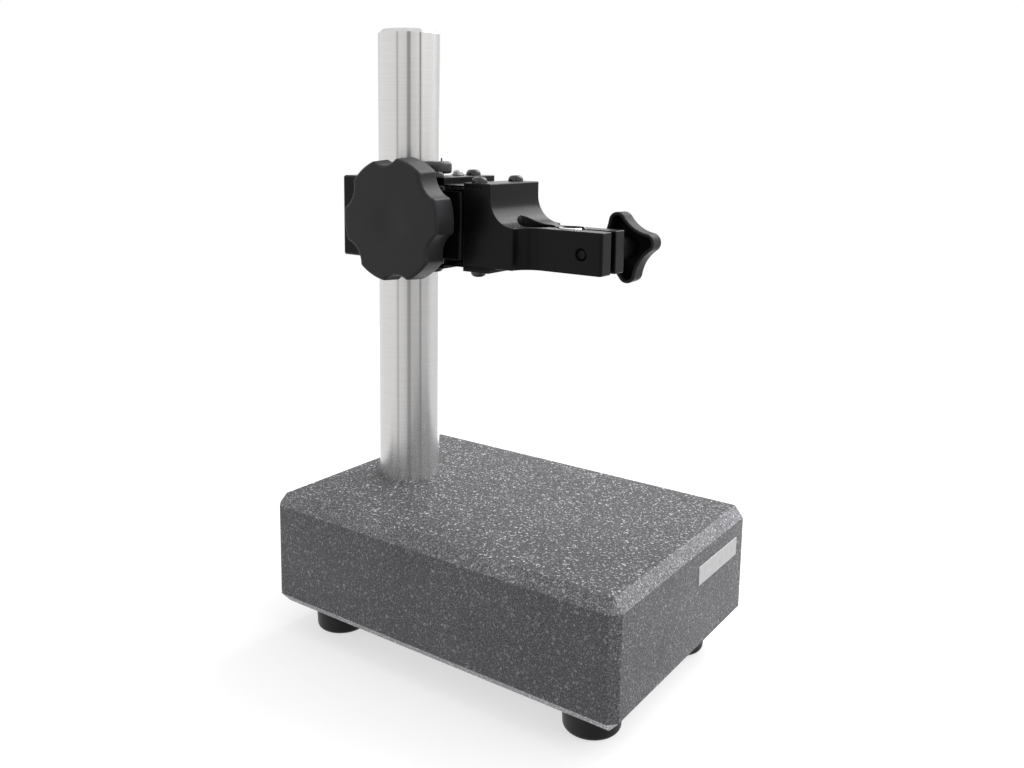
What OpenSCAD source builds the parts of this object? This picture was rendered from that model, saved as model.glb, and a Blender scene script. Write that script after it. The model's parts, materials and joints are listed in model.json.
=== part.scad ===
// Comparator stand: a granite base on rubber feet, a ground steel column, and an arm that
// slides and swings on the column and ends in a split clamp for an 8 mm gauge stem.
// X runs along the base towards the arm's tip, Y away from the clamp knob, Z up.
// The origin is the middle of the base, level with the undersides of the feet.

/* [Granite base] */
// Length of the base, along the arm
base_l = 150; // [130:1:220]
// Width of the base
base_w = 100; // [90:1:160]
// Height of the granite block
base_h = 44; // [38:1:60]
// Width of the bevel round the top face
top_bevel_w = 3.2; // [1:0.1:5]
// Drop of the bevel round the top face
top_bevel_h = 4.4; // [1:0.1:6]
// Bevel round the underside
bottom_bevel = 3.6; // [1:0.1:5]
// Bevel on the four upright edges
corner_bevel = 3; // [1:0.1:6]
// Distance from the end of the base to the column's axis
column_inset = 25; // [22:0.5:40]

/* [Feet] */
// Height of a rubber foot
foot_h = 11; // [9:0.5:16]
// Radius of a foot where it meets the granite
foot_top_r = 9.6; // [8.5:0.1:12]
// Radius of a foot at its lower end
foot_bottom_r = 9.1; // [8:0.1:12]
// Distance of a foot's centre from each side of the base
foot_inset = 18; // [15:0.5:24]
// Radius of the foot screw's thread
foot_screw_r = 2.5; // [2:0.25:3]
// Radius of the threaded insert in the granite
insert_r = 5; // [4:0.25:6]
// Length of the threaded insert
insert_l = 14; // [8:0.5:18]

/* [Column] */
// Radius of the column
column_r = 12; // [10:0.5:13]
// Height of the column above the granite
column_rise = 176; // [160:1:240]
// Depth of the seat that the column stands in
column_seat = 8; // [4:0.5:12]
// Bevel round the column's upper end
column_bevel = 1.4; // [0.5:0.1:2.5]

/* [Column anchor] */
// Radius of the anchor bolt's shank
bolt_r = 5; // [4:0.5:6]
// Length of the thread inside the column
bolt_grip = 22; // [12:1:30]
// Radius of the anchor bolt's head
bolt_head_r = 8; // [6.5:0.25:9]
// Height of the anchor bolt's head
bolt_head_h = 9; // [6:0.5:10]
// Radius of the anchor washer
bolt_washer_r = 10.5; // [9.5:0.25:11.5]
// Thickness of the anchor washer
bolt_washer_t = 2; // [1:0.25:3]

/* [Clamp block] */
// Height of the middle of the arm above the granite
arm_rise = 104.4; // [90:0.2:125]
// Length of the clamp block behind the column's axis
block_back = 21; // [18:0.5:28]
// Length of the clamp block ahead of the column's axis
block_front = 38; // [35:0.5:50]
// Width of the clamp block and of the head
block_w = 31; // [30:0.5:36]
// Height of the clamp block
block_h = 31.2; // [30.4:0.2:36]
// Height of the block's middle above the middle of the springs
block_lift = 0.7; // [0:0.1:1]
// Bevel on the block's edges
block_edge = 0.8; // [0.3:0.1:1.5]
// Distance from the column's axis to the stepped end that carries the springs
step_start = 17.2; // [16.8:0.1:19]
// Depth of the springs' inner faces below the block's faces
spring_inset = 1.5; // [1.3:0.1:2]

/* [Clamp screw] */
// Distance from the column's axis to the clamp screw
jaw_x = 17; // [16.6:0.1:17.4]
// Distance of the clamp screw below the stepped end's top
jaw_drop = 10.6; // [10.3:0.1:12]
// Radius of the clamp jaws
jaw_r = 6.5; // [5.6:0.1:6.8]
// Half the gap between the two jaws
jaw_gap = 1; // [0.5:0.25:3]
// How far the front jaw stands out of the block
jaw_proud = 0.6; // [0.2:0.1:1]
// Radius of the clamp stud
stud_r = 3; // [2.5:0.25:3.5]
// Radius of the clamp washer
stud_washer_r = 8; // [7:0.25:9]
// Thickness of the clamp washer
stud_washer_t = 1.2; // [0.8:0.1:2]

/* [Clamp knob] */
// Lobes on the clamp knob
knob_lobes = 6; // [5:1:7]
// Radius of the clamp knob over its lobes
knob_r = 23; // [22:0.5:27]
// Radius at the bottom of the hollows between the lobes
knob_hollow_r = 20.4; // [19:0.2:21.8]
// Radius of the hollows between the lobes
knob_scallop_r = 9; // [6:0.5:10]
// Radius where a lobe turns into a hollow
knob_corner_r = 1.3; // [0.8:0.1:2.5]
// Turn of the lobes about the screw, in degrees
knob_turn = 36.5; // [0:0.5:60]
// Thickness of the knob's lobed rim
knob_rim_t = 9.4; // [8:0.2:14]
// Rounding of the rim's edges
knob_round = 1; // [0.6:0.1:2]
// Length of the hub behind the rim
knob_hub_l = 4.2; // [1.5:0.1:6]
// Radius of the hub
knob_hub_r = 9; // [8:0.25:10.5]
// Wall between the hollow back and the bottom of a scallop
knob_wall = 3; // [2:0.25:4]
// Depth of the hollow in the knob's back
knob_back_depth = 6; // [4:0.25:7]
// Radius of the shallow dish in the knob's front
dish_r = 10; // [7:0.5:13]
// Depth of the dish
dish_d = 0.7; // [0.3:0.1:1.2]

/* [Parallel springs] */
// Thickness of a leaf spring
spring_t = 0.6; // [0.3:0.1:1]
// Thickness of the spacers between the stepped end and the springs
spacer_t = 1.7; // [1:0.1:2]
// Length of the clamped end on the block
spring_seat = 12.8; // [12:0.1:14]
// Thickness of the upper clamp bar
top_bar_t = 2.5; // [2:0.1:3.5]
// Thickness of the lower bar and of the plate under the head
bottom_bar_t = 1.4; // [1:0.1:2.5]
// Length of the plate on top of the head
head_plate_l = 7.8; // [7:0.2:9]
// Length of the plate under the head
head_under_l = 11.5; // [9:0.25:14]
// Distance of the spring screws from the arm's sides
screw_side = 4.2; // [3.8:0.1:4.4]
// Distance from the stepped end's start to its screws
screw_back = 5.7; // [5.5:0.1:7]
// Distance from the head's rear face to its screws
screw_front = 4; // [3.6:0.1:4.4]
// Radius of the spring screws' thread
screw_r = 1.5; // [1.25:0.05:1.6]
// Radius of the spring screws' heads
screw_head_r = 2.85; // [2.5:0.05:3]
// Height of the spring screws' heads
screw_head_h = 2.2; // [1.4:0.1:2.2]
// Height of the straight rim of the spring screws' heads
screw_rim = 1; // [0.3:0.1:1.2]
// Depth of the spring screws' holes
screw_l = 6.5; // [5.5:0.25:7]

/* [Fine adjustment] */
// Distance from the column's axis to the adjusting screw
fine_x = 20; // [19.8:0.1:20.4]
// Distance of the adjusting screw from the lifting tongue's edge
fine_edge = 1.6; // [1.5:0.1:2]
// Radius of the adjusting screw
fine_r = 2; // [1.5:0.1:2.1]
// Radius of the adjusting screw's tip
fine_tip_r = 1.3; // [1:0.1:1.5]
// Radius of the adjusting knob
fine_knob_r = 5; // [4.5:0.1:5.5]
// Height of the adjusting knob
fine_knob_h = 3.4; // [3:0.1:6]
// Gap between the upper bar and the adjusting knob
fine_gap = 2.6; // [2.6:0.05:3.5]
// Travel of the head each way from its middle
fine_travel = 0.3; // [0.1:0.05:0.3]
// Thickness of the lifting tongue
lift_t = 2; // [1.6:0.1:2.2]
// Distance of the lifting tongue's underside below the stepped end's top
lift_drop = 2.7; // [2.5:0.1:2.9]
// Distance of the lifting tongue's edge from the spring screws' axes
lift_side = 2.4; // [2.3:0.1:2.6]
// Distance of the lifting tongue's other edge from the spring screws on that side
lift_inset = 8.3; // [7.3:0.1:9.3]
// Depth that the lifting tongue is set into the head
lift_root = 8.6; // [6:0.2:9]

/* [Head] */
// Gap between the block and the head
head_gap = 0.9; // [0.5:0.1:2]
// Length of the head's top face
head_top_l = 11.7; // [10.6:0.1:15]
// Thickness of the plate on top of the head
head_plate_t = 1; // [0.6:0.1:2]
// Radius of the hollow face ahead of the head
hollow_r = 10; // [8:0.25:12]
// Width of the clamp tongue
tongue_w = 16.4; // [15:0.2:20]
// Drop from the head's top to the clamp tongue's top
tongue_drop = 14.95; // [13.5:0.05:16]
// Length of the clamp tongue ahead of the hollow face
tongue_l = 31.3; // [29:0.1:40]
// Rounding of the tongue's end corners
tongue_round = 1.2; // [0.5:0.1:3]
// Width of the clamp slot
slot_w = 3; // [2:0.1:4]
// Radius of the relief hole at the slot's root
relief_r = 6.7; // [4:0.1:7]
// How far the relief hole's centre lies behind the end of the hollow face
relief_back = 0.5; // [0:0.1:2]

/* [Stem clamp] */
// Radius of the gauge stem's bore
stem_r = 4; // [3:0.25:4.5]
// Distance from the end of the hollow face to the stem's axis
stem_ahead = 14.7; // [13.5:0.1:16]
// Bevel at both ends of the stem bore
stem_bevel = 1.2; // [0.3:0.1:1.4]
// Distance from the stem's axis to the stem clamp screw
pinch_ahead = 8.4; // [7.8:0.1:9]
// Height of the stem clamp screw above the tongue's middle
pinch_lift = -0.5; // [-1:0.1:1]
// Radius of the stem clamp screw
pinch_r = 2; // [1.5:0.1:2.5]
// Radius of the stem clamp washer
pinch_washer_r = 5.5; // [5:0.1:6.5]
// Thickness of the stem clamp washer
pinch_washer_t = 1; // [0.6:0.1:1.5]

/* [Star knob] */
// Lobes on the star knob
star_lobes = 4; // [3:1:5]
// Radius of the star knob over its lobes
star_r = 12.5; // [11.5:0.25:15]
// Radius at the bottom of the hollows between its lobes
star_hollow_r = 7.4; // [7:0.1:8.5]
// Radius of the hollows between its lobes
star_scallop_r = 6; // [5:0.25:7]
// Radius of a lobe's tip
star_corner_r = 3.3; // [2:0.1:3.4]
// Turn of the lobes about the screw, in degrees
star_turn = 56; // [0:1:90]
// Thickness of the star
star_t = 7.6; // [5:0.2:9]
// Rounding of the star's outer edge
star_round = 1.2; // [0.6:0.1:2]
// Length of the hub between the star and the washer
star_hub_l = 11.4; // [6:0.2:14]
// Radius of the star knob's hub
star_hub_r = 5.2; // [4.8:0.1:6]
// Depth of the hollow in the star's back
star_back_depth = 2; // [1:0.25:3]

/* [Fits] */
// Radial clearance of shafts that turn or slide
run_fit = 0.05; // [0.02:0.01:0.09]
// Radial clearance of screws in their clearance holes
hole_fit = 0.3; // [0.2:0.05:0.4]
// Clearance beside and under the lifting tongue
lift_fit = 0.3; // [0.2:0.05:0.35]

/* [Hidden] */
$fn = 64;

granite_top = foot_h + base_h;
column_x = -base_l / 2 + column_inset;
arm_z = granite_top + arm_rise;
eps = 0.01;
over = 1;

// Depth left beyond the end of a screw in its hole, and closed ends of threaded bushes
screw_spare = 1;
bar_screw_spare = 0.5;
bolt_spare = 3;
bush_floor = 1;

// Feet and what holds them
foot_x = base_l / 2 - foot_inset;
foot_y = base_w / 2 - foot_inset;
foot_web = 4.5;
foot_washer_r = 5.6;
foot_washer_t = 1;
foot_well_play = 0.4;
foot_well_r = foot_washer_r + foot_well_play;
foot_head_r = 1.9 * foot_screw_r;
foot_head_h = 2.4;
foot_head_rim = 0.4;
foot_screw_reach = 11;

// Column anchor
bolt_well_play = 0.75;
bolt_recess = 3;
bolt_well_r = bolt_washer_r + bolt_well_play;
bolt_well_d = bolt_recess + bolt_head_h + bolt_washer_t;
bolt_washer_z = foot_h + bolt_well_d - bolt_washer_t;
bolt_seat_z = granite_top - column_seat;
bolt_socket_r = 0.9 * bolt_r;

// Clamp block
block_low = block_lift - block_h / 2;
block_high = block_lift + block_h / 2;
spring_half = block_h / 2 - spring_inset;
step_half = spring_half - spacer_t;
jaw_z = step_half - jaw_drop;
bar_low = spring_half + spring_t;
screw_half = block_w / 2 - screw_side;
lift_z = step_half - lift_drop;
lift_front = screw_half - lift_side;
lift_rear = screw_half - lift_inset;
fine_y = lift_front - fine_edge;
fine_knob_z = bar_low + top_bar_t + fine_gap;
channel_floor = lift_z - fine_travel - lift_fit;
block_screw_x = step_start + screw_back;
bar_screw_r = 1.25;
bar_screw_head_r = 2.1;
bar_screw_head_h = 1.6;
bar_screw_rim = 0.4;
bar_screw_washer_r = 2.4;
bar_screw_washer_t = 0.5;
bar_screw_edge = 0.4;
bar_screw_wall = 0.6;
bar_screw_x = step_start + bar_screw_edge + bar_screw_washer_r;
bar_screw_y = lift_rear + lift_fit + bar_screw_wall + bar_screw_r + run_fit;
bar_screw_reach = 3.5;
fine_top = fine_knob_z + fine_knob_h;
fine_cover = 0.8;
fine_pip_r = 0.6;
fine_pip_h = 0.8;
fine_round = 0.9;
jaw_front_end = -block_w / 2 - jaw_proud;
jaw_set_in = 0.7;
jaw_rear_end = block_w / 2 - jaw_set_in;
stud_short = 1.5;

// Head
head_start = block_front + head_gap;
head_face = head_start + head_top_l;
hollow_end = head_face + hollow_r;
head_top = bar_low + head_plate_t;
tongue_low = -spring_half;
tongue_high = head_top - tongue_drop;
tongue_end = hollow_end + tongue_l;
stem_x = hollow_end + stem_ahead;
pinch_x = stem_x + pinch_ahead;
pinch_z = (tongue_low + tongue_high) / 2 + pinch_lift;
head_screw_x = head_start + screw_front;

// Clamp knob, measured along its axis from the rear face of its hub
knob_rear_y = jaw_front_end - stud_washer_t;
knob_t = knob_hub_l + knob_rim_t;
knob_draft = 1;
clamp_insert_wall = 1.8;
clamp_insert_r = stud_r + clamp_insert_wall;
clamp_insert_cover = 3.4;
clamp_insert_l = knob_t - clamp_insert_cover;

// Star knob, measured along its axis from the rear face of its hub
star_rear_y = tongue_w / 2 + pinch_washer_t;
star_total = star_hub_l + star_t;
star_insert_wall = 1.2;
star_insert_r = pinch_r + star_insert_wall;
star_insert_cover = 2.6;
star_face_inset = 2;
star_back_wall = 1;
star_insert_l = star_total - star_insert_cover;
pinch_short = 0.6;
pinch_bevel = 0.4;

// Points of an arc about c, radius r, from angle a to angle b
function arc(c, r, a, b, n) =
    [for (i = [0:n]) let (t = a + (b - a) * i / n) c + r * [cos(t), sin(t)]];

// Angle between sides a and b of a triangle whose third side is o
function corner_angle(a, b, o) = acos((a * a + b * b - o * o) / (2 * a * b));

// Outline with n lobes: outer arcs of radius r, hollows of radius s whose bottoms lie at h,
// joined by corners of radius c
function lobe_half(r, h, s, c) = corner_angle(h + s, r - c, s + c);
function lobe_lean(r, h, s, c) = corner_angle(h + s, s + c, r - c);
function lobe_part(r, h, s, c, q, t) = concat(
    [for (p = arc([h + s, 0], s, 180, 180 - q, 5)) p],
    [for (p = arc((r - c) * [cos(t), sin(t)], c, -q, t, 5)) p]);
function turned(pts, a) =
    [for (p = pts) [p[0] * cos(a) - p[1] * sin(a), p[0] * sin(a) + p[1] * cos(a)]];
function flipped(pts) = [for (i = [len(pts) - 1:-1:1]) [pts[i][0], -pts[i][1]]];
function lobed(n, r, h, s, c) =
    let (t = lobe_half(r, h, s, c),
         part = lobe_part(r, h, s, c, lobe_lean(r, h, s, c), t),
         gap = 360 / n - 2 * t,
         top = arc([0, 0], r, t + gap / 3, t + 2 * gap / 3, 1),
         one = concat(flipped(part), part, top))
    [for (k = [0:n - 1]) each turned(one, 360 * k / n)];

// Places the arm's pieces, which are drawn from the column's axis and the springs' middle
module on_arm() {
    translate([column_x, 0, arm_z]) children();
}

// Box with all its edges bevelled, from x0 to x1 and z0 to z1, w wide
module bevelled_box(x0, x1, w, z0, z1, c) {
    module trimmed(a0, a1, b0, b1) {
        polygon([[a0 + c, b0], [a1 - c, b0], [a1, b0 + c], [a1, b1 - c],
                 [a1 - c, b1], [a0 + c, b1], [a0, b1 - c], [a0, b0 + c]]);
    }
    intersection() {
        translate([0, 0, z0 - over])
            linear_extrude(z1 - z0 + 2 * over) trimmed(x0, x1, -w / 2, w / 2);
        rotate([90, 0, 0])
            linear_extrude(w + 2 * over, center = true) trimmed(x0, x1, z0, z1);
        translate([x0 - over, 0, 0]) rotate([90, 0, 90])
            linear_extrude(x1 - x0 + 2 * over) trimmed(-w / 2, w / 2, z0, z1);
    }
}

// Plain box from corner to corner
module box(a, b) {
    translate(a) cube(b - a);
}

// Rod along Z from z0 to z1
module rod(r, z0, z1) {
    translate([0, 0, z0]) cylinder(r = r, h = z1 - z0);
}

// Button-head screw with a hexagon socket, its head resting on z = 0
module button_screw(r, head_r, head_h, rim, l) {
    dome = head_h - rim;
    dome_r = (head_r * head_r + dome * dome) / (2 * dome);
    socket_r = 0.7 * r;
    socket_d = 0.55 * head_h;
    difference() {
        union() {
            rod(r, -l, eps);
            intersection() {
                rod(head_r, 0, head_h);
                translate([0, 0, head_h - dome_r]) sphere(r = dome_r, $fn = 96);
            }
        }
        translate([0, 0, head_h - socket_d]) cylinder(r = socket_r, h = head_h, $fn = 6);
    }
}

// Foot positions: children are drawn at each foot's centre
module at_feet() {
    for (x = [-foot_x, foot_x], y = [-foot_y, foot_y]) translate([x, y, 0]) children();
}

// Spring screws of one end of the springs: children stand on the upper and lower faces
module at_spring_screws(x, top_z, bottom_z) {
    for (y = [-screw_half, screw_half]) {
        translate([x, y, top_z]) children();
        translate([x, y, -bottom_z]) rotate([180, 0, 0]) children();
    }
}

// Granite block with its bevels, the column's seat, the anchor well and the insert holes
module granite_base() {
    module side_outline(half) {
        low = foot_h + bottom_bevel;
        high = granite_top - top_bevel_h;
        polygon([[-half + bottom_bevel, foot_h], [half - bottom_bevel, foot_h], [half, low],
                 [half, high], [half - top_bevel_w, granite_top],
                 [-half + top_bevel_w, granite_top], [-half, high], [-half, low]]);
    }
    module plan_outline() {
        a = base_l / 2;
        b = base_w / 2;
        c = corner_bevel;
        polygon([[-a + c, -b], [a - c, -b], [a, -b + c], [a, b - c],
                 [a - c, b], [-a + c, b], [-a, b - c], [-a, -b + c]]);
    }
    color("dimgray") difference() {
        intersection() {
            translate([0, 0, foot_h - over]) linear_extrude(base_h + 2 * over) plan_outline();
            rotate([90, 0, 0])
                linear_extrude(base_w + 2 * over, center = true) side_outline(base_l / 2);
            translate([-base_l / 2 - over, 0, 0]) rotate([90, 0, 90])
                linear_extrude(base_l + 2 * over) side_outline(base_w / 2);
        }
        translate([column_x, 0, 0]) {
            rod(column_r + run_fit, granite_top - column_seat, granite_top + over);
            rod(bolt_r + hole_fit, foot_h, granite_top);
            rod(bolt_well_r, foot_h - over, foot_h + bolt_well_d);
        }
        at_feet() rod(insert_r, foot_h - over, foot_h + insert_l);
    }
}

// Threaded bushes let into the granite for the foot screws
module foot_inserts() {
    color("goldenrod") at_feet() difference() {
        rod(insert_r, foot_h, foot_h + insert_l);
        rod(foot_screw_r + run_fit, foot_h - over, foot_h + insert_l - over);
    }
}

// One rubber foot: a tapered pad with a well for the washer and the screw's head
module rubber_foot(x, y) {
    lip = 0.8;
    color([0.1, 0.1, 0.1]) translate([x, y, 0]) difference() {
        rotate_extrude() polygon([[0, 0], [foot_bottom_r - lip, 0], [foot_bottom_r, lip],
                                  [foot_top_r, foot_h - lip], [foot_top_r - lip / 2, foot_h], [0, foot_h]]);
        rod(foot_screw_r + hole_fit, -over, foot_h + over);
        rod(foot_well_r, -over, foot_h - foot_web);
    }
}

module foot_front_left() {
    rubber_foot(-foot_x, -foot_y);
}

module foot_front_right() {
    rubber_foot(foot_x, -foot_y);
}

module foot_rear_left() {
    rubber_foot(-foot_x, foot_y);
}

module foot_rear_right() {
    rubber_foot(foot_x, foot_y);
}

// Steel washers in the wells of the feet
module foot_washers() {
    color("silver") at_feet() difference() {
        rod(foot_washer_r, foot_h - foot_web - foot_washer_t, foot_h - foot_web);
        rod(foot_screw_r + hole_fit, 0, foot_h);
    }
}

// Screws that hold the feet
module foot_screws() {
    seat = foot_h - foot_web - foot_washer_t;
    color("silver") at_feet() translate([0, 0, seat]) rotate([180, 0, 0])
        button_screw(foot_screw_r, foot_head_r, foot_head_h, foot_head_rim,
                     foot_h - seat + foot_screw_reach);
}

// Socket-head bolt that pulls the column down into its seat
module anchor_bolt() {
    shank_top = bolt_seat_z + bolt_grip;
    color("gray") translate([column_x, 0, 0]) difference() {
        union() {
            rod(bolt_r, bolt_washer_z - eps, shank_top);
            rod(bolt_head_r, bolt_washer_z - bolt_head_h, bolt_washer_z);
        }
        translate([0, 0, bolt_washer_z - bolt_head_h - over])
            cylinder(r = bolt_socket_r, h = bolt_head_h / 2 + over, $fn = 6);
    }
}

module anchor_washer() {
    color("silver") translate([column_x, 0, 0]) difference() {
        rod(bolt_washer_r, bolt_washer_z, bolt_washer_z + bolt_washer_t);
        rod(bolt_r + hole_fit, 0, granite_top);
    }
}

// Ground steel column, bevelled above and bored below for its anchor bolt
module column() {
    low = bolt_seat_z;
    high = granite_top + column_rise;
    foot = 0.5;
    color("gainsboro") translate([column_x, 0, 0]) difference() {
        rotate_extrude() polygon([[0, low], [column_r - foot, low], [column_r, low + foot],
                                  [column_r, high - column_bevel],
                                  [column_r - column_bevel, high], [0, high]]);
        rod(bolt_r + run_fit, low - over, low + bolt_grip + bolt_spare);
    }
}

// Cross bore of the clamp jaws, along Y
module along_jaws() {
    translate([jaw_x, 0, jaw_z]) rotate([-90, 0, 0]) children();
}

// Block on the column, stepped at its front end for the two leaf springs
module clamp_block() {
    hw = block_w / 2 + over;
    color([0.12, 0.12, 0.13]) on_arm() difference() {
        bevelled_box(-block_back, block_front, block_w, block_low, block_high, block_edge);
        rod(column_r + run_fit, -block_h, block_h);
        along_jaws() rod(jaw_r + run_fit, -hw, hw);
        box([step_start, -hw, step_half], [block_front + over, hw, block_high + over]);
        box([step_start, -hw, block_low - over], [block_front + over, hw, -step_half]);
        box([step_start, -lift_front - lift_fit, channel_floor],
            [block_front + over, lift_rear + lift_fit, step_half + over]);
        at_spring_screws(block_screw_x, step_half, step_half) rod(screw_r + run_fit, -screw_l, over);
        translate([bar_screw_x, bar_screw_y, step_half])
            rod(bar_screw_r + run_fit, -bar_screw_reach - bar_screw_spare, over);
    }
}

// One of the two jaws in the cross bore; its hollowed flank grips the column
module jaw(y0, y1, hole) {
    bevel = 0.5;
    color("silver") on_arm() difference() {
        along_jaws() rotate_extrude() polygon([[hole, y0], [jaw_r - bevel, y0], [jaw_r, y0 + bevel],
                                               [jaw_r, y1 - bevel], [jaw_r - bevel, y1], [hole, y1]]);
        rod(column_r + run_fit, -block_h, block_h);
    }
}

module clamp_jaw_front() {
    jaw(jaw_front_end, -jaw_gap, stud_r + hole_fit);
}

module clamp_jaw_rear() {
    jaw(jaw_gap, jaw_rear_end, stud_r + run_fit);
}

// Strip of spring steel, or of spacer or bar, from x0 to x1 and z0 to z1, as wide as the arm
module strip(x0, x1, z0, z1) {
    box([x0, -block_w / 2, z0], [x1, block_w / 2, z1]);
}

// Holes of the block's spring screws and, above, of the adjusting screw and the bar screw
module strip_holes(fine_hole_r, small_hole_r) {
    at_spring_screws(block_screw_x, 0, 0) rod(screw_r + hole_fit, -over, block_h);
    translate([fine_x, -fine_y, 0]) rod(fine_hole_r, 0, block_h);
    translate([bar_screw_x, bar_screw_y, 0]) rod(small_hole_r, 0, block_h);
}

module spring_spacer_top() {
    color("gray") on_arm() difference() {
        strip(step_start, step_start + spring_seat, step_half, spring_half);
        strip_holes(fine_r + hole_fit, bar_screw_r + hole_fit);
    }
}

module spring_spacer_bottom() {
    color("gray") on_arm() difference() {
        strip(step_start, step_start + spring_seat, -spring_half, -step_half);
        at_spring_screws(block_screw_x, 0, 0) rod(screw_r + hole_fit, -over, block_h);
    }
}

module leaf_spring_top() {
    color("slategray") on_arm() difference() {
        strip(step_start, head_start + head_plate_l, spring_half, bar_low);
        strip_holes(fine_r + hole_fit, bar_screw_r + hole_fit);
        at_spring_screws(head_screw_x, 0, 0) rod(screw_r + hole_fit, -over, block_h);
    }
}

module leaf_spring_bottom() {
    color("slategray") on_arm() difference() {
        strip(step_start, head_start + head_under_l, -bar_low, -spring_half);
        at_spring_screws(block_screw_x, 0, 0) rod(screw_r + hole_fit, -over, block_h);
        at_spring_screws(head_screw_x, 0, 0) rod(screw_r + hole_fit, -over, block_h);
    }
}

// Upper bar: clamps the spring and carries the thread of the adjusting screw
module spring_bar_top() {
    color([0.14, 0.14, 0.15]) on_arm() difference() {
        strip(step_start, step_start + spring_seat, bar_low, bar_low + top_bar_t);
        strip_holes(fine_r + run_fit, bar_screw_r + hole_fit);
    }
}

module spring_bar_bottom() {
    color([0.14, 0.14, 0.15]) on_arm() difference() {
        strip(step_start, step_start + spring_seat, -bar_low - bottom_bar_t, -bar_low);
        at_spring_screws(block_screw_x, 0, 0) rod(screw_r + hole_fit, -over, block_h);
    }
}

module block_screws() {
    grip = spacer_t + spring_t + screw_l - screw_spare;
    color([0.16, 0.16, 0.17]) on_arm() for (y = [-screw_half, screw_half]) {
        translate([block_screw_x, y, bar_low + top_bar_t])
            button_screw(screw_r, screw_head_r, screw_head_h, screw_rim, grip + top_bar_t);
        translate([block_screw_x, y, -bar_low - bottom_bar_t]) rotate([180, 0, 0])
            button_screw(screw_r, screw_head_r, screw_head_h, screw_rim, grip + bottom_bar_t);
    }
}

// Small bright screw that also holds the upper bar
module bar_screw() {
    seat = bar_low + top_bar_t + bar_screw_washer_t;
    color("silver") on_arm() translate([bar_screw_x, bar_screw_y, seat])
        button_screw(bar_screw_r, bar_screw_head_r, bar_screw_head_h, bar_screw_rim,
                     seat - step_half + bar_screw_reach);
}

module bar_screw_washer() {
    seat = bar_low + top_bar_t;
    color("silver") on_arm() translate([bar_screw_x, bar_screw_y, 0]) difference() {
        rod(bar_screw_washer_r, seat, seat + bar_screw_washer_t);
        rod(bar_screw_r + hole_fit, 0, block_h);
    }
}

// Plan of the head and its tongue: the sides sweep in from the head to the tongue
module head_plan() {
    b = block_w / 2;
    t = tongue_w / 2;
    sweep = b - t;
    e = tongue_round;
    polygon(concat(
        [[head_start, b], [head_start, -b]],
        arc([hollow_end + sweep, -b], sweep, 180, 90, 10),
        arc([tongue_end - e, -t + e], e, -90, 0, 5),
        arc([tongue_end - e, t - e], e, 0, 90, 5),
        arc([hollow_end + sweep, b], sweep, 270, 180, 10)));
}

// Side view of the head: the front drops in a quarter round to the tongue's top
module head_side() {
    difference() {
        polygon([[head_start, tongue_low], [tongue_end, tongue_low], [tongue_end, tongue_high],
                 [hollow_end, tongue_high], [hollow_end, tongue_high + hollow_r],
                 [head_face, tongue_high + hollow_r], [head_face, head_top], [head_start, head_top]]);
        translate([hollow_end, tongue_high + hollow_r]) circle(r = hollow_r, $fn = 96);
    }
}

// Head with the split clamp for the gauge stem
module arm_head() {
    hw = block_w / 2 + over;
    tall = head_top - tongue_low + 2 * over;
    color([0.12, 0.12, 0.13]) on_arm() difference() {
        intersection() {
            translate([0, 0, tongue_low - over]) linear_extrude(tall) head_plan();
            rotate([90, 0, 0]) linear_extrude(2 * hw, center = true) head_side();
        }
        box([head_start - over, -hw, spring_half],
            [head_start + head_plate_l, hw, head_top + over]);
        box([head_start - over, -lift_front, lift_z],
            [head_start + lift_root, lift_rear, lift_z + lift_t]);
        translate([hollow_end - relief_back, 0, 0]) rod(relief_r, tongue_low - over, head_top);
        box([hollow_end, -slot_w / 2, tongue_low - over], [tongue_end + over, slot_w / 2, head_top]);
        translate([stem_x, 0, 0]) {
            rod(stem_r, tongue_low - over, tongue_high + over);
            translate([0, 0, tongue_high - stem_bevel])
                cylinder(r1 = stem_r, r2 = stem_r + 2 * stem_bevel, h = 2 * stem_bevel);
            translate([0, 0, tongue_low - stem_bevel])
                cylinder(r1 = stem_r + 2 * stem_bevel, r2 = stem_r, h = 2 * stem_bevel);
        }
        translate([pinch_x, 0, pinch_z]) rotate([-90, 0, 0]) {
            rod(pinch_r + run_fit, -hw, 0);
            rod(pinch_r + hole_fit, 0, hw);
            translate([0, 0, -tongue_w / 2 - pinch_bevel])
                cylinder(r1 = pinch_r + 2 * pinch_bevel, r2 = pinch_r, h = 2 * pinch_bevel);
        }
        at_spring_screws(head_screw_x, spring_half, spring_half)
            rod(screw_r + run_fit, -screw_l, over);
    }
}

// Tongue set into the head: the adjusting screw bears down on its free end
module lift_tongue() {
    color("slategray") on_arm()
        box([step_start + lift_fit, -lift_front, lift_z],
            [head_start + lift_root, lift_rear, lift_z + lift_t]);
}

module head_plate_top() {
    color([0.14, 0.14, 0.15]) on_arm() difference() {
        strip(head_start, head_start + head_plate_l, bar_low, head_top);
        at_spring_screws(head_screw_x, 0, 0) rod(screw_r + hole_fit, -over, block_h);
    }
}

module head_plate_bottom() {
    color([0.14, 0.14, 0.15]) on_arm() difference() {
        strip(head_start, head_start + head_under_l, -bar_low - bottom_bar_t, -bar_low);
        at_spring_screws(head_screw_x, 0, 0) rod(screw_r + hole_fit, -over, block_h);
    }
}

module head_screws() {
    grip = screw_l - screw_spare;
    color([0.16, 0.16, 0.17]) on_arm() for (y = [-screw_half, screw_half]) {
        translate([head_screw_x, y, head_top])
            button_screw(screw_r, screw_head_r, screw_head_h, screw_rim,
                         head_top - spring_half + grip);
        translate([head_screw_x, y, -bar_low - bottom_bar_t]) rotate([180, 0, 0])
            button_screw(screw_r, screw_head_r, screw_head_h, screw_rim,
                         spring_t + bottom_bar_t + grip);
    }
}

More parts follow.
